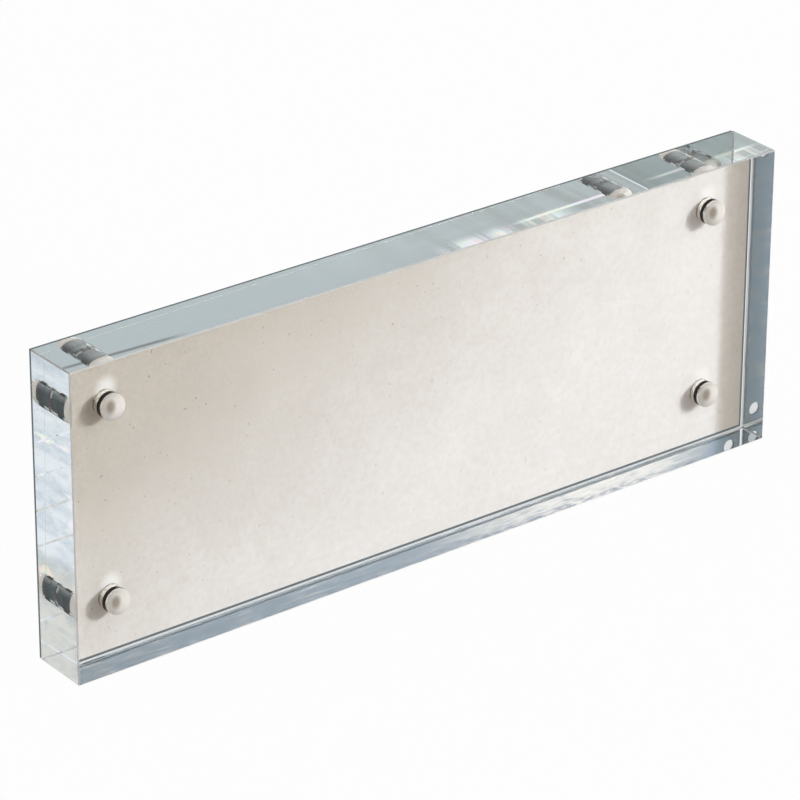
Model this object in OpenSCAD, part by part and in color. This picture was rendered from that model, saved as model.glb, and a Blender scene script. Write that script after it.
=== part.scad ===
// Acrylic block frame. A thick clear block has a magnet bonded into a blind bore
// near each corner of its back. The magnets hold a thin steel plate against the
// back, and an insert card lies between the plate and the block.
// The front faces -Y, and the block stands on its long bottom edge.

/* [Acrylic block] */
// Width of the block
block_w = 254; // [150:1:400]
// Height of the block
block_h = 96.5; // [60:0.5:200]
// Thickness of the block, front to back
block_t = 19; // [14:0.5:40]
// Polished chamfer along every edge of the block
edge_chamfer = 0.4; // [0.1:0.1:1.5]

/* [Magnets] */
// Diameter of each magnet
magnet_d = 7.6; // [5:0.1:12]
// Length of each magnet
magnet_len = 6.95; // [4:0.05:9]
// Chamfer on both ends of each magnet
magnet_chamfer = 0.2; // [0.1:0.05:0.4]
// Gap around each magnet in its bore
magnet_clearance = 0.1; // [0.05:0.05:0.3]
// Depth of each magnet's back end below the back of the block
magnet_recess = 0.05; // [0.05:0.05:0.5]

/* [Magnet bores] */
// Distance from the side of the block to the axis of a bore
bore_inset_x = 18.2; // [12:0.1:40]
// Distance from the top or bottom of the block to the axis of a bore
bore_inset_z = 18; // [12:0.1:25]
// Straight length of a bore past the front end of its magnet, before its round end
bore_end_gap = 0.2; // [0.1:0.05:1]

/* [Bond rings] */
// Length of the ring of adhesive round the front end of a magnet
bond_len = 2.7; // [1:0.1:3]
// Distance from the front end of a magnet back to its ring of adhesive
bond_setback = 1; // [0.4:0.05:1]

/* [Insert card] */
// Thickness of the insert card
card_t = 0.2; // [0.15:0.05:1]
// Distance from the edge of the block to the edge of the card
card_margin = 1.3; // [0.5:0.1:2]
// Gap between the card and the block, and between the card and the plate
card_clearance = 0.1; // [0.05:0.05:0.3]

/* [Back plate] */
// Thickness of the steel plate
plate_t = 0.5; // [0.4:0.1:3]
// Distance from the edge of the block to the edge of the plate
plate_margin = 0.3; // [0.2:0.1:1]
// Diameter of the fixing holes in the corners of the plate
fixing_hole_d = 4.2; // [3:0.1:5]
// Distance from the edge of the block to the centre of a fixing hole
fixing_inset = 5; // [5:0.1:8]

/* [Hidden] */
$fn = 96;

// Overrun of every cut past the face that it opens
cut_over = 1;

// Places along Y, from the front of the block to the back of the plate
total_t = block_t + card_clearance + card_t + card_clearance + plate_t;
block_front_y = -total_t / 2;
block_back_y = block_front_y + block_t;
card_front_y = block_back_y + card_clearance;
plate_front_y = card_front_y + card_t + card_clearance;

// A bore and what sits in it, measured forwards from the back of the block
bore_d = magnet_d + 2 * magnet_clearance;
magnet_front = magnet_recess + magnet_len;
bore_straight = magnet_front + bore_end_gap;
bond_back = magnet_front - bond_setback - bond_len;

// Signs of X and Z for the corners, seen from the front
TOP_LEFT = [-1, 1];
TOP_RIGHT = [1, 1];
BOTTOM_LEFT = [-1, -1];
BOTTOM_RIGHT = [1, -1];
CORNERS = [TOP_LEFT, TOP_RIGHT, BOTTOM_LEFT, BOTTOM_RIGHT];

// Rectangle centred on the origin with its corners cut at 45 degrees
module chamfered_rectangle(a, b, cut) {
    x = a / 2;
    y = b / 2;
    polygon([
        [x, y - cut], [x - cut, y], [cut - x, y], [-x, y - cut],
        [-x, cut - y], [cut - x, -y], [x - cut, -y], [x, cut - y]
    ]);
}

// Box centred on the origin with every edge cut at 45 degrees
module chamfered_box(w, d, h, cut) {
    intersection() {
        linear_extrude(height = h, center = true) chamfered_rectangle(w, d, cut);
        rotate([90, 0, 0]) linear_extrude(height = d, center = true) chamfered_rectangle(w, h, cut);
        rotate([90, 0, 90]) linear_extrude(height = w, center = true) chamfered_rectangle(d, h, cut);
    }
}

// Moves its children to a corner of the block, an inset in from the two edges
module at_corner(corner, inset_x, inset_z, y) {
    x = corner[0] * (block_w / 2 - inset_x);
    z = block_h / 2 + corner[1] * (block_h / 2 - inset_z);
    translate([x, y, z]) children();
}

// Turns its children so that their +Z points to the front, from the back of the block
module in_bore(corner) {
    at_corner(corner, bore_inset_x, bore_inset_z, block_back_y) rotate([90, 0, 0]) children();
}

// Space of one blind bore: a straight part and a round end
module bore_space() {
    translate([0, 0, -cut_over]) cylinder(d = bore_d, h = cut_over + bore_straight);
    translate([0, 0, bore_straight]) sphere(d = bore_d);
}

// The clear block with its four blind bores
module acrylic_block() {
    color([0.86, 0.92, 0.94, 0.5]) difference() {
        translate([0, block_front_y + block_t / 2, block_h / 2])
            chamfered_box(block_w, block_t, block_h, edge_chamfer);
        for (corner = CORNERS) in_bore(corner) bore_space();
    }
}

// One nickel plated magnet with chamfered ends
module magnet(corner) {
    r = magnet_d / 2;
    r_end = r - magnet_chamfer;
    back = magnet_recess;
    color([0.82, 0.83, 0.84]) in_bore(corner) rotate_extrude() polygon([
        [0, back], [r_end, back], [r, back + magnet_chamfer],
        [r, magnet_front - magnet_chamfer], [r_end, magnet_front], [0, magnet_front]
    ]);
}

// One ring of dark adhesive between a magnet and the wall of its bore
module bond_ring(corner) {
    color([0.07, 0.06, 0.05]) in_bore(corner) translate([0, 0, bond_back]) difference() {
        cylinder(d = bore_d, h = bond_len);
        translate([0, 0, -cut_over]) cylinder(d = magnet_d, h = bond_len + 2 * cut_over);
    }
}

// Flat sheet behind the block, standing in from its edges
module sheet(margin, front_y, t) {
    translate([margin - block_w / 2, front_y, margin])
        cube([block_w - 2 * margin, t, block_h - 2 * margin]);
}

// The cream paper insert
module insert_card() {
    color([0.87, 0.84, 0.79]) sheet(card_margin, card_front_y, card_t);
}

// The steel plate that the magnets hold, with a fixing hole in each corner
module back_plate() {
    color([0.50, 0.56, 0.60]) difference() {
        sheet(plate_margin, plate_front_y, plate_t);
        for (corner = CORNERS)
            at_corner(corner, fixing_inset, fixing_inset, plate_front_y - cut_over)
                rotate([-90, 0, 0]) cylinder(d = fixing_hole_d, h = plate_t + 2 * cut_over);
    }
}

acrylic_block();
magnet(TOP_LEFT);  // magnet_top_left
magnet(TOP_RIGHT);  // magnet_top_right
magnet(BOTTOM_LEFT);  // magnet_bottom_left
magnet(BOTTOM_RIGHT);  // magnet_bottom_right
bond_ring(TOP_LEFT);  // bond_ring_top_left
bond_ring(TOP_RIGHT);  // bond_ring_top_right
bond_ring(BOTTOM_LEFT);  // bond_ring_bottom_left
bond_ring(BOTTOM_RIGHT);  // bond_ring_bottom_right
insert_card();
back_plate();
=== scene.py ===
import math
from types import SimpleNamespace

import bmesh
import bpy
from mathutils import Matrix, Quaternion, Vector


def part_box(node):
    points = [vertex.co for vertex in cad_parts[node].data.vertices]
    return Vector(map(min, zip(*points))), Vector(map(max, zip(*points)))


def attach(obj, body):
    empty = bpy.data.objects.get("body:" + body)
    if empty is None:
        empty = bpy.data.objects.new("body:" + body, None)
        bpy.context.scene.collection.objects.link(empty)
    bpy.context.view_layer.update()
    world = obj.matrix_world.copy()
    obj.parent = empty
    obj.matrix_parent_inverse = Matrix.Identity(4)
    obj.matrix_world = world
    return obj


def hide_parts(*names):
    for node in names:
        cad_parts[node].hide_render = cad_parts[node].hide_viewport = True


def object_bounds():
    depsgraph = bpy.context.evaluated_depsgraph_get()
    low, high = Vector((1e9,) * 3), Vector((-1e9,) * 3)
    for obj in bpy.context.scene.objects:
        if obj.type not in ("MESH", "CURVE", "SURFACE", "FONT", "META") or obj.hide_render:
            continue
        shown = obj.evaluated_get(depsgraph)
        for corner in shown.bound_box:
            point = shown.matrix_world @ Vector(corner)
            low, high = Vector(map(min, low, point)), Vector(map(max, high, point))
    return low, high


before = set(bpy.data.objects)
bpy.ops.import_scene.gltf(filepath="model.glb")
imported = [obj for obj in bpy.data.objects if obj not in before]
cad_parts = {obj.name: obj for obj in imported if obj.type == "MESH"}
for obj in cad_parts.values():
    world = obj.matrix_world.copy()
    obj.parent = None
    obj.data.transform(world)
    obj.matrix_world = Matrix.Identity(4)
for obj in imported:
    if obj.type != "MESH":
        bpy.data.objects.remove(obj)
CAD_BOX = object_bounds()

# Lengths are in metres. A NOISE is its scale, detail and roughness; a SPAN is the two values between
# which a share goes from 0 to 1; a STRETCH is the scales along X, Y and Z before a noise; and a SHARE
# is how much of a look shows. Side faces are left and right, level faces are top and bottom.
WHITE = (1.0, 1.0, 1.0, 1.0)

# Camera, fitted to the corners of the block in the photograph
CAMERA_POSITION = Vector((-0.7238, -0.9226, 0.6226))
CAMERA_AIM = Vector((-0.0064, 0.0008, 0.0486))
CAMERA_ROLL = math.radians(0.285)
CAMERA_LENS_MM = 202.9
SENSOR_MM = 36.0

# Two lamps in one direction, a small one for the sharp shadows and a large one that softens them
KEY_DIRECTION = Vector((-0.49, 0.83, -0.266)).normalized()
KEY_DISTANCE = 3.0
KEY_SIZE = 0.36
KEY_POWER = 16.5
SOFT_SIZE = 1.8
SOFT_POWER = 17.5
# Plain light from all round, and the white that the camera sees
AMBIENT_STRENGTH = 0.57
AMBIENT_COLOUR = (1.0, 0.955, 0.90, 1.0)
BACKDROP_STRENGTH = 1.0
# Share of the floor's look that stays plain white, so that its shadow is faint
FLOOR_WHITE_SHARE = 0.97
FLOOR_COLOUR = (0.86, 0.87, 0.88, 1.0)
FLOOR_ROUGHNESS = 0.9
FLOOR_HALF_SIZE = 30.0
# Air under the block, so that its bottom face still mirrors from inside
FLOOR_DROP = 0.0001

# Bounces that light needs to cross the block through all its inner reflections
LIGHT_BOUNCES = 40
# Greatest ray depths behind one face of the block, straight behind both, and where a bore still shows
BEHIND_ONE_FACE = 1.5
BEHIND_BLOCK = 2.5
DEEP_REFLECTION = 5.5
# Diffuse depth past which a ray comes from a matt surface
MATT_BOUNCE = 0.5
# On a face, the least of the normal along the face's own axis; on a chamfer, the most along any axis
FACE_NORMAL = 0.6
CHAMFER_NORMAL = 0.9
# Most of the normal along Y, at the mouth of a bore and on the chamfers of the short level edges
MOUTH_NORMAL = 0.5
SHORT_EDGE_NORMAL = 0.3
# With this blend, Layer Weight's Facing is 0 where a surface is seen squarely and 1 where edge on
FACING_BLEND = 0.5

# Clear acrylic, with a tint that keeps what its outer faces mirror faint
ACRYLIC_IOR = 1.49
FACE_REFLECTION = (0.2, 0.2, 0.2, 1.0)
# Width of the zone along an outer face that counts as that face
FACE_ZONE = 0.0009
# Side faces from inside, in painted shade that the camera sees but light doesn't: what later reflections
# mirror, and what passes, in painted streaks and painted rainbow patches of light
SIDE_MIRROR_TINT = (0.62, 0.67, 0.66, 1.0)
SIDE_STRETCH = (1.0, 1.0, 2.4)
SIDE_STREAK_NOISE = (48.0, 6.0, 0.68)
SIDE_STREAK_SPAN = (0.34, 0.60)
SIDE_STREAK_DIM = (0.54, 0.62, 0.69, 1.0)
SIDE_STREAK_BRIGHT = (0.80, 0.86, 0.91, 1.0)
SIDE_RAINBOW_NOISE = (60.0, 3.0, 0.6)
SIDE_RAINBOW_SPAN = (0.58, 0.66)
# High on a side face, which shows low in the face across from it, what passes is browner
SIDE_LOW_TINT = (0.88, 0.82, 0.73, 1.0)
SIDE_LOW_SPAN = (0.060, 0.070)
# Level faces from inside, in painted shade that the camera sees but light doesn't:
# what passes, with dim painted streaks towards the right
LEVEL_CLEAR_TINT = (0.375, 0.455, 0.475, 1.0)
LEVEL_STREAK_DIM = (0.28, 0.34, 0.33, 1.0)
LEVEL_STRETCH = (1.0, 0.08, 0.08)
LEVEL_STREAK_NOISE = (110.0, 4.0, 0.6)
LEVEL_STREAK_SPAN = (0.42, 0.60)
LEVEL_RIGHT_SPAN = (0.0, 0.10)
# Painted light that gathers in bright streaks on a level face:
# its start and end along X, and its depth in Y
GATHERED_START_SPAN = (0.045, 0.055)
GATHERED_END_SPAN = (0.09, 0.10)
GATHERED_DEPTH_SPAN = (0.0005, 0.0060)
# Pale colours of the spectrum, for painted rainbow light
RAINBOW_NOISE = (110.0, 1.0)
RAINBOW_TURNS = 3.0
RAINBOW_SATURATION = 0.13
# Two thin lines painted on the bottom face that show in the top one, one of rainbow light and one of shade:
# from x, to x, y at the first, and slope
RAINBOW_LINE = (0.074, 0.126, 0.0034, 0.0)
DARK_LINE = (-0.096, -0.042, 0.0004, 0.072)
LINE_HALF_WIDTH = 0.0005
LINE_FADE_SHARE = 0.25
LINE_DARK = (0.10, 0.125, 0.13, 1.0)
# Chamfers, satin white as a slight frosting that also stands in for a painted highlight,
# and what passes those of the short level edges seen by reflection
CHAMFER_SATIN_HIGHLIGHT = (0.86, 0.88, 0.89, 1.0)
CHAMFER_SATIN_ROUGHNESS = 0.4
CHAMFER_MATT_SHARE = 0.55
CHAMFER_TINT = (0.70, 0.77, 0.81, 1.0)
# Light that reaches the card through a side face, past a magnet, or through the wall of a bore
SIDE_SHADOW_TINT = (0.225, 0.17, 0.105, 1.0)
MAGNET_SHADOW_TINT = (0.40, 0.31, 0.22, 1.0)
BORE_SHADOW_TINT = (0.82, 0.79, 0.75, 1.0)

# Drilled bores, a little frosted on the wall and white on the round end
BORE_TINT = (0.98, 0.94, 0.88, 1.0)
BORE_ROUGHNESS = 0.12
BORE_END_WHITE = (0.97, 0.94, 0.89, 1.0)
BORE_END_SHADE = (0.46, 0.40, 0.335, 1.0)
BORE_FROST_SHARE = 0.9
# Painted glow: an emission on the frosted end that stands for the light it gathers from the rest of the
# block
BORE_END_PAINTED_GLOW = 0.13
BORE_END_DEPTH = 0.0041
# Where the wall of a bore is seen this squarely, the magnet behind it shows as if bonded to it
BONDED_FACING_SPAN = (0.44, 0.50)
# The patch of painted shade on the end of a bore, from its axis and behind its tip, and how far it reaches
SHADE_PATCH_PLACE = Vector((-0.0019, 0.0008, 0.0013))
SHADE_PATCH_REACH_SPAN = (0.0005, 0.0022)
SHADE_PATCH_STRETCH_UP = 1.5
# Thin dark line round the mouth of a bore
BORE_MOUTH_BROWN = (0.10, 0.075, 0.055, 1.0)
BORE_MOUTH_SHARE = 0.6

# Magnets: nickel with dark teal grey sides in painted shade, a painted highlight on them towards the upper
# right, and warm pale ends
NICKEL_NOISE = (500.0, 2.0)
NICKEL_SIDE_DARK = (0.045, 0.088, 0.112, 1.0)
NICKEL_SIDE_PALE = (0.068, 0.122, 0.148, 1.0)
NICKEL_END_DARK = (0.46, 0.42, 0.37, 1.0)
NICKEL_END_PALE = (0.54, 0.50, 0.44, 1.0)
NICKEL_END_SPAN = (0.6, 0.8)
NICKEL_ROUGHNESS = (0.50, 0.58)
MAGNET_PAINTED_HIGHLIGHT = (0.52, 0.59, 0.61, 1.0)
MAGNET_PAINTED_HIGHLIGHT_SPAN = (-0.55, 0.85)

# Dark rings: how far they stand proud of the bore, how deep they are, and their steps round
RING_PROUD = 0.00003
RING_DEPTH = 0.00008
RING_STEPS = 128
# They are black where seen aslant, but not towards the right, where painted light takes the black away;
# elsewhere they are teal with the magnets' painted highlight towards the upper right
RING_NOISE = (1500.0, 3.0)
RING_BLACK = (0.004, 0.003, 0.0025, 1.0)
RING_BROWN = (0.011, 0.009, 0.007, 1.0)
RING_DARK_FACING_SPAN = (0.36, 0.48)
RING_RIGHT_SPAN = (0.0, 0.45)
RING_TEAL = (0.035, 0.055, 0.062, 1.0)
RING_ROUGHNESS = 0.6
RING_SPECULAR = 0.05

# Paper in soft clouds, with painted shade that makes it greige at the upper left
# and painted light that makes it paler towards the right and the bottom
PAPER_TONE_LEAN = 2.0
PAPER_TONE_SPAN = (-0.35, -0.01)
PAPER_GREIGE = (0.485, 0.44, 0.366, 1.0)
PAPER_PALE = (0.907, 0.89, 0.877, 1.0)
CLOUD_NOISE = (30.0, 5.0, 0.6)
CLOUD_SPAN = (0.3, 0.7)
CLOUD_SHARE = 0.13
# Stains in two sizes, pale grain and dark specks; all but the grain are weaker in the painted light at the
# right
PAPER_CALM_SHARE = 0.7
PAPER_STAIN = (0.66, 0.60, 0.51, 1.0)
MOTTLE_NOISE = (110.0, 5.0, 0.65)
MOTTLE_SPAN = (0.35, 0.7)
MOTTLE_SHARE = 0.30
FINE_NOISE = (520.0, 4.0, 0.7)
FINE_SPAN = (0.38, 0.66)
FINE_SHARE = 0.55
GRAIN_NOISE = (1400.0, 3.0, 0.7)
GRAIN_SPAN = (0.35, 0.75)
GRAIN_SHARE = 0.12
GRAIN_HEIGHT = 0.00004
GRAIN_STRENGTH = 0.6
SPECK_NOISE = (900.0, 0.0)
SPECK_SPAN = (0.815, 0.845)
SPECK_SHARE = 0.75
SPECK_BROWN = (0.16, 0.12, 0.08, 1.0)
PAPER_ROUGHNESS = 0.95
PAPER_SPECULAR = 0.2
# Painted light that the block gathers on the card: a patch above each bore, by its place from the axis
# and how far it reaches, and a band of this width along the card's left edge
PAPER_GLOW = (0.975, 0.965, 0.945, 1.0)
GLOW_PLACE = (0.0005, 0.0040)
GLOW_REACH_SPAN = (0.0012, 0.0048)
GLOW_SHARE = 0.9
EDGE_GLOW_WIDTH = 0.007
EDGE_GLOW_SHARE = 0.5

# Painted reflection: seen by reflection in the strips beside the panel, the card is painted blue-grey and
# streaked
STRIP_TINT = (0.345, 0.445, 0.545, 1.0)
STRIP_RIGHT_TINT = (0.345, 0.51, 0.68, 1.0)
STRIP_RIGHT_SPAN = (0.110, 0.119)
STRIP_STRETCH = (0.25, 1.0, 3.0)
STRIP_NOISE = (420.0, 4.0, 0.7)
STRIP_PALE_SPAN = (0.45, 0.85)
# One stretch of it has painted light, brighter at the card's lower edge, with painted white glints
STRIP_BRIGHT = (0.95, 1.0, 1.0, 1.0)
STRIP_BRIGHT_START_SPAN = (-0.01, 0.065)
STRIP_BRIGHT_END_SPAN = (0.086, 0.118)
STRIP_BRIGHT_HEIGHT_SPAN = (0.0036, 0.0056)
STRIP_BRIGHT_SPAN = (0.30, 0.5)
GLINT_STRETCH = (0.3, 1.0, 3.0)
GLINT_NOISE = (900.0, 3.0, 0.6)
GLINT_SPAN = (0.48, 0.54)
# How far in from the edges of the block the strips still show the card
STRIP_REACH = 0.009
# The fixing holes show white through the card there
FIXING_INSET = 0.005
FIXING_RADIUS = 0.0021
FIXING_SHARE = 0.8

# Brushed steel, and a plain painted look where the strips show it by reflection
STEEL_STRETCH = (8.0, 1.0, 900.0)
STEEL_BRUSH_NOISE = (1.0, 6.0, 0.7)
STEEL_DARK = (0.10, 0.125, 0.135, 1.0)
STEEL_GREY = (0.15, 0.18, 0.19, 1.0)
STEEL_CLOUD_NOISE = (14.0, 3.0)
STEEL_CLOUD_SHARE = 0.3
STEEL_PALE = (0.19, 0.215, 0.225, 1.0)
STEEL_ROUGHNESS = (0.28, 0.42)
STEEL_BRUSH_HEIGHT = 0.00002
STEEL_BRUSH_STRENGTH = 0.5
STEEL_STRIP = (0.34, 0.40, 0.45, 1.0)

CORNERS = ("top_left", "top_right", "bottom_left", "bottom_right")
SHARP_ANGLE = math.radians(25.0)
WELD_DISTANCE = 1e-6


class Nodes:
    """Adds nodes to the tree of a material, or of a world, with short calls."""

    def __init__(self, owner, shader="Principled BSDF"):
        self.owner = owner
        owner.use_nodes = True
        self.tree = owner.node_tree
        self.shader = self.tree.nodes[shader]

    def fill(self, node, inputs):
        """Links each input that comes from a socket, and sets the others."""
        for key, value in inputs.items():
            if isinstance(value, bpy.types.NodeSocket):
                self.tree.links.new(value, node.inputs[key])
            else:
                node.inputs[key].default_value = value

    def finish(self, shader):
        self.fill(self.tree.nodes["Material Output"], {"Surface": shader})
        return self.owner

    def add(self, kind, inputs, **settings):
        node = self.tree.nodes.new(kind)
        for name, value in settings.items():
            setattr(node, name, value)
        self.fill(node, inputs)
        return node

    def math(self, operation, *values):
        return self.add("ShaderNodeMath", dict(enumerate(values)), operation=operation).outputs[0]

    def plus(self, a, b):
        return self.math("ADD", a, b)

    def minus(self, a, b):
        return self.math("SUBTRACT", a, b)

    def times(self, first, *others):
        for value in others:
            first = self.math("MULTIPLY", first, value)
        return first

    def either(self, a, b):
        return self.math("MAXIMUM", a, b)

    def invert(self, share):
        return self.minus(1.0, share)

    def size(self, value):
        return self.math("ABSOLUTE", value)

    def over(self, value, limit):
        return self.math("GREATER_THAN", value, limit)

    def under(self, value, limit):
        return self.math("LESS_THAN", value, limit)

    def ramp(self, value, low, high):
        """0 below low, 1 above high, and smooth between."""
        inputs = {"Value": value, "From Min": low, "From Max": high}
        return self.add("ShaderNodeMapRange", inputs, interpolation_type="SMOOTHSTEP").outputs[0]

    def between(self, value, start, end):
        """1 from the end of the span start to the beginning of the span end, and smooth across both."""
        return self.times(self.ramp(value, *start), self.invert(self.ramp(value, *end)))

    def blend(self, share, low, high):
        """The number low where the share is 0, and high where it is 1."""
        inputs = {"Value": share, "To Min": low, "To Max": high}
        return self.add("ShaderNodeMapRange", inputs).outputs[0]

    def noise(self, place, scale, detail, roughness=0.5):
        inputs = {"Vector": place, "Scale": scale, "Detail": detail, "Roughness": roughness}
        return self.add("ShaderNodeTexNoise", inputs).outputs["Fac"]

    def stretched(self, place, scales):
        return self.add("ShaderNodeMapping", {"Vector": place, "Scale": scales}).outputs[0]

    def patches(self, place, noise, span):
        return self.ramp(self.noise(place, *noise), *span)

    def mix_colour(self, share, a, b, blend_type="MIX"):
        inputs = {0: share, 6: a, 7: b}
        return self.add("ShaderNodeMix", inputs, data_type="RGBA", blend_type=blend_type).outputs[2]

    def multiply_colours(self, a, b):
        return self.mix_colour(1.0, a, b, "MULTIPLY")

    def bump(self, height, distance, strength):
        inputs = {"Height": height, "Distance": distance, "Strength": strength}
        return self.add("ShaderNodeBump", inputs).outputs[0]

    def own(self):
        """What the tree's first shader gives."""
        return self.shader.outputs[0]

    def glass(self, colour, roughness):
        inputs = {"Color": colour, "Roughness": roughness, "IOR": ACRYLIC_IOR}
        return self.add("ShaderNodeBsdfGlass", inputs).outputs[0]

    def diffuse(self, colour):
        return self.add("ShaderNodeBsdfDiffuse", {"Color": colour}).outputs[0]

    def transparent(self, colour=WHITE):
        return self.add("ShaderNodeBsdfTransparent", {"Color": colour}).outputs[0]

    def emission(self, colour, strength):
        return self.add("ShaderNodeEmission", {"Color": colour, "Strength": strength}).outputs[0]

    def mix_shader(self, share, a, b):
        return self.add("ShaderNodeMixShader", {0: share, 1: a, 2: b}).outputs[0]

    def add_shader(self, a, b):
        return self.add("ShaderNodeAddShader", {0: a, 1: b}).outputs[0]

    def rays(self):
        return self.add("ShaderNodeLightPath", {}).outputs

    def facing(self):
        return self.add("ShaderNodeLayerWeight", {"Blend": FACING_BLEND}).outputs["Facing"]

    def place(self):
        return self.add("ShaderNodeTexCoord", {}).outputs["Object"]

    def split(self, vector):
        return self.add("ShaderNodeSeparateXYZ", {0: vector}).outputs

    def normal(self):
        """The three parts of the normal, in the object's own axes."""
        return self.split(self.add("ShaderNodeTexCoord", {}).outputs["Normal"])

    def distance(self, *offsets):
        total = 0.0
        for offset in offsets:
            total = self.plus(total, self.times(offset, offset))
        return self.math("SQRT", total)

    def near_faces(self, place, width):
        """1 within a width of the block's side faces, of its front and back, and of its level faces."""
        low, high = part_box("acrylic_block")
        middle = (low + high) / 2
        near = []
        for value, centre, reach in zip(self.split(place), middle, high - middle):
            near.append(self.over(self.size(self.minus(value, centre)), reach - width))
        return near

    def from_corner(self, place, inset_x, inset_z):
        """Distances across and up from the nearest of four places, one in each corner of the block."""
        low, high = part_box("acrylic_block")
        middle = (low + high) / 2
        x, _, z = self.split(place)
        offsets = []
        for value, centre, edge, inset in ((x, middle.x, high.x, inset_x), (z, middle.z, high.z, inset_z)):
            from_middle = self.minus(value, centre)
            nearest = self.times(self.math("SIGN", from_middle), edge - centre - inset)
            offsets.append(self.minus(from_middle, nearest))
        return offsets

    def from_bore(self, place):
        """Distances across and up from the axis of the nearest bore."""
        low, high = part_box("magnet_top_right")
        axis = (low + high) / 2
        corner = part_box("acrylic_block")[1]
        return self.from_corner(place, corner.x - axis.x, corner.z - axis.z)

    def rainbow(self, place):
        """Pale colours of the spectrum in fine bands."""
        hue = self.math("FRACT", self.times(self.noise(place, *RAINBOW_NOISE), RAINBOW_TURNS))
        inputs = {0: hue, 1: RAINBOW_SATURATION, 2: 1.0}
        return self.add("ShaderNodeCombineColor", inputs, mode="HSV").outputs[0]

    def line(self, x, y, start, end, start_y, slope):
        """1 on a thin line that fades at both ends."""
        middle_y = self.plus(self.times(self.minus(x, start), slope), start_y)
        off_line = self.ramp(self.size(self.minus(y, middle_y)), LINE_HALF_WIDTH, 2 * LINE_HALF_WIDTH)
        fade = (end - start) * LINE_FADE_SHARE
        along = self.between(x, (start, start + fade), (end - fade, end))
        return self.times(along, self.invert(off_line))


def new_look(name):
    return Nodes(bpy.data.materials.new(name))


def seen_share(n):
    """1 for what the camera sees, also mirrored or through the block, and 0 for what lights a surface."""
    rays = n.rays()
    seen = n.either(rays["Is Camera Ray"], rays["Is Glossy Ray"])
    seen = n.either(seen, rays["Is Transmission Ray"])
    return n.times(seen, n.under(rays["Diffuse Depth"], MATT_BOUNCE))


def block_zones(n, place):
    """Shares on the block that are 1 on their own kind of surface, and 0 elsewhere."""
    by_side, by_flat, by_level = n.near_faces(place, FACE_ZONE)
    by_edge = n.either(by_side, by_level)
    bore = n.invert(n.either(by_edge, by_flat))
    along_x, along_y, along_z = [n.size(part) for part in n.normal()]
    side = n.times(by_side, n.over(along_x, FACE_NORMAL))
    level = n.times(by_level, n.over(along_z, FACE_NORMAL))
    along_any = n.either(n.either(along_x, along_y), along_z)
    chamfer = n.times(n.under(along_any, CHAMFER_NORMAL), n.invert(bore))
    return SimpleNamespace(
        side=side,
        level=level,
        side_or_level=n.either(side, level),
        bore=bore,
        mouth=n.times(n.under(along_y, MOUTH_NORMAL), by_flat, n.invert(by_edge)),
        chamfer=chamfer,
        short_chamfer=n.times(chamfer, n.under(along_y, SHORT_EDGE_NORMAL)),
    )


def side_passing(n, place, rainbow):
    """Painted colour and shade of what passes a side face from inside."""
    _, _, z = n.split(place)
    stretched = n.stretched(place, SIDE_STRETCH)
    streak = n.patches(stretched, SIDE_STREAK_NOISE, SIDE_STREAK_SPAN)
    tint = n.mix_colour(streak, SIDE_STREAK_DIM, SIDE_STREAK_BRIGHT)
    tint = n.mix_colour(n.patches(stretched, SIDE_RAINBOW_NOISE, SIDE_RAINBOW_SPAN), tint, rainbow)
    return n.mix_colour(n.ramp(z, *SIDE_LOW_SPAN), tint, n.multiply_colours(tint, SIDE_LOW_TINT))


def level_passing(n, place, rainbow):
    """Painted colour and shade of what passes a level face from inside, with painted lines of light and
    shade.
    """
    x, y, _ = n.split(place)
    streak = n.patches(n.stretched(place, LEVEL_STRETCH), LEVEL_STREAK_NOISE, LEVEL_STREAK_SPAN)
    dim = n.times(streak, n.ramp(x, *LEVEL_RIGHT_SPAN))
    tint = n.mix_colour(dim, LEVEL_CLEAR_TINT, LEVEL_STREAK_DIM)
    gathered = n.between(x, GATHERED_START_SPAN, GATHERED_END_SPAN)
    gathered = n.times(gathered, n.ramp(y, *GATHERED_DEPTH_SPAN), n.invert(streak))
    tint = n.mix_colour(gathered, tint, rainbow)
    tint = n.mix_colour(n.line(x, y, *RAINBOW_LINE), tint, rainbow)
    return n.mix_colour(n.line(x, y, *DARK_LINE), tint, LINE_DARK)


def inner_face_look(n, place, zones, rays, direct):
    """A side or level face from inside, in painted shade: it tints what passes, and a side face dims later
    reflections.
    """
    rainbow = n.rainbow(place)
    passing = n.mix_colour(zones.level, side_passing(n, place, rainbow), level_passing(n, place, rainbow))
    mirroring = n.mix_colour(n.either(direct, zones.level), SIDE_MIRROR_TINT, WHITE)
    mirrored = n.add("ShaderNodeFresnel", {"IOR": ACRYLIC_IOR}).outputs[0]
    tint = n.mix_colour(mirrored, passing, mirroring)
    return n.glass(n.mix_colour(n.over(rays["Diffuse Depth"], MATT_BOUNCE), tint, WHITE), 0.0)


def bore_look(n, place, inside):
    """A clear wall, bonded to the magnet where seen squarely, and a frosted end with a painted glow and
    painted shade.
    """
    _, y, _ = n.split(place)
    across, up = n.from_bore(place)
    magnet_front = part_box("magnet_top_left")[0].y
    shade_y = magnet_front - BORE_END_DEPTH + SHADE_PATCH_PLACE.y
    up = n.math("DIVIDE", n.minus(up, SHADE_PATCH_PLACE.z), SHADE_PATCH_STRETCH_UP)
    from_shade = n.distance(n.minus(across, SHADE_PATCH_PLACE.x), n.minus(y, shade_y), up)
    # The frosted end is white with a patch of painted shade, and has a painted glow
    colour = n.mix_colour(n.ramp(from_shade, *SHADE_PATCH_REACH_SPAN), BORE_END_SHADE, BORE_END_WHITE)
    frosted = n.add_shader(n.diffuse(colour), n.emission(colour, BORE_END_PAINTED_GLOW))
    bonded = n.times(inside, n.invert(n.ramp(n.facing(), *BONDED_FACING_SPAN)))
    wall = n.mix_shader(bonded, n.glass(BORE_TINT, BORE_ROUGHNESS), n.transparent())
    return n.mix_shader(n.times(n.under(y, magnet_front), BORE_FROST_SHARE), wall, frosted)


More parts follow.
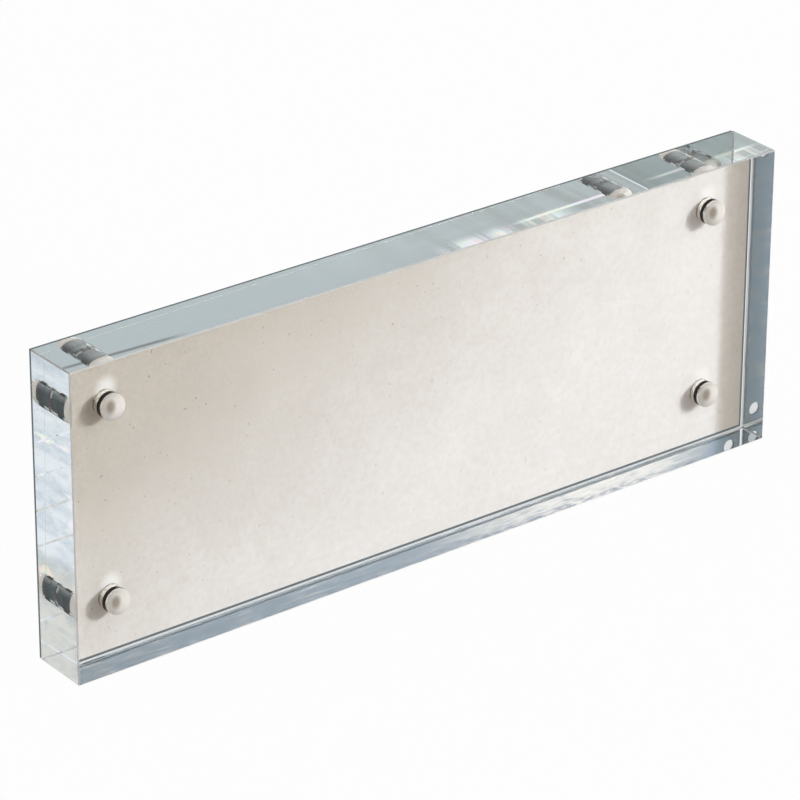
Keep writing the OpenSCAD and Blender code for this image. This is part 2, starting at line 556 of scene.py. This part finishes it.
def acrylic_material():
    n = new_look("clear_acrylic_look")
    n.fill(n.shader, {
        "Base Color": WHITE,
        "Transmission Weight": 1.0,
        "Roughness": 0.0,
        "IOR": ACRYLIC_IOR,
        "Specular Tint": FACE_REFLECTION,
    })
    place = n.place()
    zones = block_zones(n, place)
    rays = n.rays()
    inside = n.add("ShaderNodeNewGeometry", {}).outputs["Backfacing"]
    direct = n.under(rays["Ray Depth"], BEHIND_ONE_FACE)

    faces = inner_face_look(n, place, zones, rays, direct)
    seen = n.mix_shader(n.times(zones.side_or_level, inside), n.own(), faces)
    seen = n.mix_shader(zones.bore, seen, bore_look(n, place, inside))
    seen = n.mix_shader(n.times(zones.mouth, BORE_MOUTH_SHARE), seen, n.diffuse(BORE_MOUTH_BROWN))

    # A chamfer is satin white from outside and at first sight, a slight frosting that also stands in for a
    # painted highlight. In later reflections it is plain glass, or softly clear along the short level edges
    satin = n.glass(CHAMFER_SATIN_HIGHLIGHT, CHAMFER_SATIN_ROUGHNESS)
    satin = n.mix_shader(CHAMFER_MATT_SHARE, satin, n.diffuse(CHAMFER_SATIN_HIGHLIGHT))
    from_near = n.either(direct, n.invert(inside))
    seen = n.mix_shader(n.times(zones.chamfer, from_near), seen, satin)
    later = n.times(zones.short_chamfer, n.invert(from_near))
    seen = n.mix_shader(later, seen, n.transparent(CHAMFER_TINT))

    # A bore fades out of the deepest reflections
    deep = n.times(zones.bore, n.over(rays["Ray Depth"], DEEP_REFLECTION))
    seen = n.mix_shader(deep, seen, n.transparent())

    # Light passes straight through, and the side faces and the bores dim it
    shade = n.mix_colour(zones.side, WHITE, SIDE_SHADOW_TINT)
    shade = n.mix_colour(zones.bore, shade, BORE_SHADOW_TINT)
    return n.finish(n.mix_shader(rays["Is Shadow Ray"], seen, n.transparent(shade)))


def finish_fading(n):
    """Lets some light past in shadows, and fades a piece out of the deepest reflections."""
    rays = n.rays()
    deep = n.over(rays["Ray Depth"], DEEP_REFLECTION)
    seen = n.mix_shader(deep, n.own(), n.transparent())
    return n.finish(n.mix_shader(rays["Is Shadow Ray"], seen, n.transparent(MAGNET_SHADOW_TINT)))


# Share of the painted highlight on magnets and rings, growing towards the upper right
def highlight_towards_upper_right(n, across, up):
    return n.ramp(n.plus(across, up), *MAGNET_PAINTED_HIGHLIGHT_SPAN)


def nickel_material():
    n = new_look("nickel_look")
    cloud = n.noise(n.place(), *NICKEL_NOISE)
    across, along, up = n.normal()
    # The sides are painted dark as shade, with the painted highlight towards the upper right
    side = n.mix_colour(cloud, NICKEL_SIDE_DARK, NICKEL_SIDE_PALE)
    side = n.mix_colour(highlight_towards_upper_right(n, across, up), side, MAGNET_PAINTED_HIGHLIGHT)
    end = n.mix_colour(cloud, NICKEL_END_DARK, NICKEL_END_PALE)
    n.fill(n.shader, {
        "Base Color": n.mix_colour(n.ramp(n.size(along), *NICKEL_END_SPAN), side, end),
        "Metallic": 1.0,
        "Roughness": n.blend(cloud, *NICKEL_ROUGHNESS),
    })
    return finish_fading(n)


def adhesive_material():
    n = new_look("dark_adhesive_look")
    black = n.mix_colour(n.noise(n.place(), *RING_NOISE), RING_BLACK, RING_BROWN)
    across, _, up = n.normal()
    # Painted light: the magnets' painted highlight, and black that fades towards the right
    side = n.mix_colour(highlight_towards_upper_right(n, across, up), RING_TEAL, MAGNET_PAINTED_HIGHLIGHT)
    dark = n.minus(n.ramp(n.facing(), *RING_DARK_FACING_SPAN), n.ramp(across, *RING_RIGHT_SPAN))
    n.fill(n.shader, {
        "Base Color": n.mix_colour(n.either(dark, 0.0), side, black),
        "Roughness": RING_ROUGHNESS,
        "Specular IOR Level": RING_SPECULAR,
    })
    return finish_fading(n)


def paper_tone(n, place, grain):
    """Cream paper with clouds, stains, grain and specks, greige in painted shade and paler in painted
    light.
    """
    x, _, z = n.split(place)
    # Painted light, growing towards the right and the bottom
    painted_light_share = n.ramp(n.minus(x, n.times(z, PAPER_TONE_LEAN)), *PAPER_TONE_SPAN)
    cloud = n.minus(n.patches(place, CLOUD_NOISE, CLOUD_SPAN), 0.5)
    pale = n.plus(painted_light_share, n.times(cloud, CLOUD_SHARE))
    stained = n.invert(n.times(painted_light_share, PAPER_CALM_SHARE))
    mottle = n.times(n.patches(place, MOTTLE_NOISE, MOTTLE_SPAN), MOTTLE_SHARE, stained)
    fine = n.times(n.patches(place, FINE_NOISE, FINE_SPAN), FINE_SHARE, stained)
    speck = n.times(n.patches(place, SPECK_NOISE, SPECK_SPAN), SPECK_SHARE, stained)
    tone = n.mix_colour(pale, PAPER_GREIGE, PAPER_PALE)
    tone = n.mix_colour(mottle, tone, PAPER_STAIN)
    tone = n.mix_colour(fine, tone, PAPER_STAIN)
    tone = n.mix_colour(n.times(n.ramp(grain, *GRAIN_SPAN), GRAIN_SHARE), tone, PAPER_PALE)
    return n.mix_colour(speck, tone, SPECK_BROWN)


def gathered_light(n, place, tone):
    """Paints into the card's colour the light that the block gathers on it, above each bore and along the
    left edge.
    """
    x, _, _ = n.split(place)
    across, up = n.from_bore(place)
    from_glow = n.distance(n.minus(across, GLOW_PLACE[0]), n.minus(up, GLOW_PLACE[1]))
    above_bore = n.times(n.invert(n.ramp(from_glow, *GLOW_REACH_SPAN)), GLOW_SHARE)
    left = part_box("insert_card")[0].x
    at_left = n.times(n.invert(n.ramp(x, left, left + EDGE_GLOW_WIDTH)), EDGE_GLOW_SHARE)
    in_block = n.over(n.rays()["Ray Depth"], BEHIND_ONE_FACE)
    tone = n.mix_colour(n.times(above_bore, in_block), tone, PAPER_GLOW)
    return n.mix_colour(n.times(at_left, in_block), tone, PAPER_GLOW)


def strip_tone(n, place, tone):
    """The card as the strips beside the panel show it by reflection: a painted reflection with painted
    light and glints.
    """
    x, _, z = n.split(place)
    reflected_streaks = n.noise(n.stretched(place, STRIP_STRETCH), *STRIP_NOISE)
    stretch = n.between(x, STRIP_BRIGHT_START_SPAN, STRIP_BRIGHT_END_SPAN)
    low_down = n.invert(n.ramp(z, *STRIP_BRIGHT_HEIGHT_SPAN))
    bright = n.times(stretch, low_down, n.ramp(reflected_streaks, *STRIP_BRIGHT_SPAN))
    strip = n.mix_colour(n.ramp(x, *STRIP_RIGHT_SPAN), STRIP_TINT, STRIP_RIGHT_TINT)
    strip = n.mix_colour(bright, strip, STRIP_BRIGHT)
    strip = n.mix_colour(n.ramp(reflected_streaks, *STRIP_PALE_SPAN), strip, WHITE)
    glint = n.times(stretch, n.patches(n.stretched(place, GLINT_STRETCH), GLINT_NOISE, GLINT_SPAN))
    return n.mix_colour(glint, n.multiply_colours(strip, tone), PAPER_GLOW)


def paper_material():
    n = new_look("cream_paper_look")
    place = n.place()
    grain = n.noise(place, *GRAIN_NOISE)
    tone = gathered_light(n, place, paper_tone(n, place, grain))
    # Where the strips show the card by reflection, it takes the painted reflection, light and glints
    near_side, _, near_level = n.near_faces(place, STRIP_REACH)
    in_strip = n.times(n.either(near_side, near_level), n.over(n.rays()["Ray Depth"], BEHIND_BLOCK))
    n.fill(n.shader, {
        "Base Color": n.mix_colour(in_strip, tone, strip_tone(n, place, tone)),
        "Roughness": PAPER_ROUGHNESS,
        "Specular IOR Level": PAPER_SPECULAR,
        "Normal": n.bump(grain, GRAIN_HEIGHT, GRAIN_STRENGTH),
    })
    hole = n.under(n.distance(*n.from_corner(place, FIXING_INSET, FIXING_INSET)), FIXING_RADIUS)
    return n.finish(n.mix_shader(n.times(in_strip, FIXING_SHARE, hole), n.own(), n.transparent()))


def steel_material():
    n = new_look("steel_plate_look")
    place = n.place()
    brush = n.noise(n.stretched(place, STEEL_STRETCH), *STEEL_BRUSH_NOISE)
    cloud = n.times(n.noise(place, *STEEL_CLOUD_NOISE), STEEL_CLOUD_SHARE)
    colour = n.mix_colour(brush, STEEL_DARK, STEEL_GREY)
    n.fill(n.shader, {
        "Base Color": n.mix_colour(cloud, colour, STEEL_PALE),
        "Metallic": 1.0,
        "Roughness": n.blend(brush, *STEEL_ROUGHNESS),
        "Normal": n.bump(brush, STEEL_BRUSH_HEIGHT, STEEL_BRUSH_STRENGTH),
    })
    # Painted reflection: where the strips show the plate, it is a plain blue-grey
    in_strip = n.over(n.rays()["Ray Depth"], BEHIND_BLOCK)
    return n.finish(n.mix_shader(in_strip, n.own(), n.diffuse(STEEL_STRIP)))


def floor_material():
    n = new_look("floor_look")
    n.fill(n.shader, {
        "Base Color": FLOOR_COLOUR,
        "Roughness": FLOOR_ROUGHNESS,
        "Specular IOR Level": 0.0,
    })
    share = n.times(seen_share(n), FLOOR_WHITE_SHARE)
    return n.finish(n.mix_shader(share, n.own(), n.emission(WHITE, BACKDROP_STRENGTH)))


def add_object(name, data):
    thing = bpy.data.objects.new(name, data)
    bpy.context.scene.collection.objects.link(thing)
    return thing


def face_along(thing, location, direction, roll=0.0):
    """Places a lamp or camera that looks in a direction, turned about it by a roll."""
    thing.location = location
    thing.rotation_mode = "QUATERNION"
    turn = Quaternion((0.0, 0.0, 1.0), roll)
    thing.rotation_quaternion = direction.to_track_quat("-Z", "Y") @ turn


def mesh_from(name, form, material):
    """Turns a bmesh into a mesh with one material."""
    mesh = bpy.data.meshes.new(name)
    form.to_mesh(mesh)
    form.free()
    mesh.materials.append(material)
    return mesh


def add_piece(name, form, material, body, node):
    """Makes a smooth piece with sharp edges out of a bmesh, to stand for a CAD node."""
    mesh = mesh_from(name, form, material)
    mesh.shade_smooth()
    mesh.set_sharp_from_angle(angle=SHARP_ANGLE)
    piece = add_object(name, mesh)
    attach(piece, body)
    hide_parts(node)


def optical_block():
    """The block in its own place, with normals that stay sharp where a bore meets a flat face."""
    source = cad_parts["acrylic_block"].data
    form = bmesh.new()
    corners = [form.verts.new(vertex.co) for vertex in source.vertices]
    for polygon in source.polygons:
        form.faces.new([corners[index] for index in polygon.vertices])
    bmesh.ops.remove_doubles(form, verts=form.verts, dist=WELD_DISTANCE)
    add_piece("clear_block", form, acrylic_material(), "block", "acrylic_block")


def bond_ring(corner, material):
    """The dark ring again, just proud of its bore, so that it shows through the wet wall."""
    low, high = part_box("bond_ring_" + corner)
    centre = (low + high) / 2
    wall = (high.x - low.x) / 2
    inner, outer = wall - RING_DEPTH, wall + RING_PROUD
    profile = [
        (inner, low.y), (wall, low.y), (outer, low.y + RING_PROUD),
        (outer, high.y - RING_PROUD), (wall, high.y), (inner, high.y),
    ]
    form = bmesh.new()
    turns = []
    for step in range(RING_STEPS):
        angle = math.tau * step / RING_STEPS
        across, up = math.cos(angle), math.sin(angle)
        turns.append([
            form.verts.new((centre.x + radius * across, y, centre.z + radius * up)) for radius, y in profile
        ])
    for turn, following in zip(turns, turns[1:] + turns[:1]):
        for side in range(len(profile)):
            after = (side + 1) % len(profile)
            form.faces.new((turn[side], turn[after], following[after], following[side]))
    bmesh.ops.recalc_face_normals(form, faces=form.faces)
    add_piece("dark_ring_" + corner, form, material, "block", "bond_ring_" + corner)


def dress_nodes():
    """Gives every CAD node that shows its procedural material, and adds the rings."""
    nickel, adhesive = nickel_material(), adhesive_material()
    looks = {"insert_card": paper_material(), "back_plate": steel_material()}
    for corner in CORNERS:
        looks["magnet_" + corner] = nickel
        bond_ring(corner, adhesive)
    for name, material in looks.items():
        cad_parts[name].material_slots[0].material = material


def add_floor():
    form = bmesh.new()
    bmesh.ops.create_grid(form, x_segments=1, y_segments=1, size=FLOOR_HALF_SIZE)
    floor = add_object("floor", mesh_from("floor", form, floor_material()))
    floor.location.z = -FLOOR_DROP


def add_world():
    world = bpy.data.worlds.new("studio")
    bpy.context.scene.world = world
    n = Nodes(world, "Background")
    seen = seen_share(n)
    n.fill(n.shader, {
        "Color": n.mix_colour(seen, AMBIENT_COLOUR, WHITE),
        "Strength": n.blend(seen, AMBIENT_STRENGTH, BACKDROP_STRENGTH),
    })


def add_lamp(name, size, power, mirrored):
    low, high = CAD_BOX
    data = bpy.data.lights.new(name, "AREA")
    data.shape = "DISK"
    data.size = size
    data.energy = power
    lamp = add_object(name, data)
    face_along(lamp, (low + high) / 2 - KEY_DIRECTION * KEY_DISTANCE, KEY_DIRECTION)
    # Its light already passes straight through the block, so it isn't counted again by refraction
    lamp.visible_transmission = False
    lamp.visible_glossy = mirrored


def add_camera():
    data = bpy.data.cameras.new("camera")
    data.sensor_width = SENSOR_MM
    data.lens = CAMERA_LENS_MM
    camera = add_object("camera", data)
    face_along(camera, CAMERA_POSITION, CAMERA_AIM - CAMERA_POSITION, CAMERA_ROLL)
    bpy.context.scene.camera = camera


optical_block()
dress_nodes()
add_floor()
add_world()
add_lamp("key", KEY_SIZE, KEY_POWER, True)
add_lamp("soft", SOFT_SIZE, SOFT_POWER, False)
add_camera()
bpy.context.scene.view_settings.view_transform = "Standard"
for kind in ("max_bounces", "glossy_bounces", "transmission_bounces", "transparent_max_bounces"):
    setattr(bpy.context.scene.cycles, kind, LIGHT_BOUNCES)
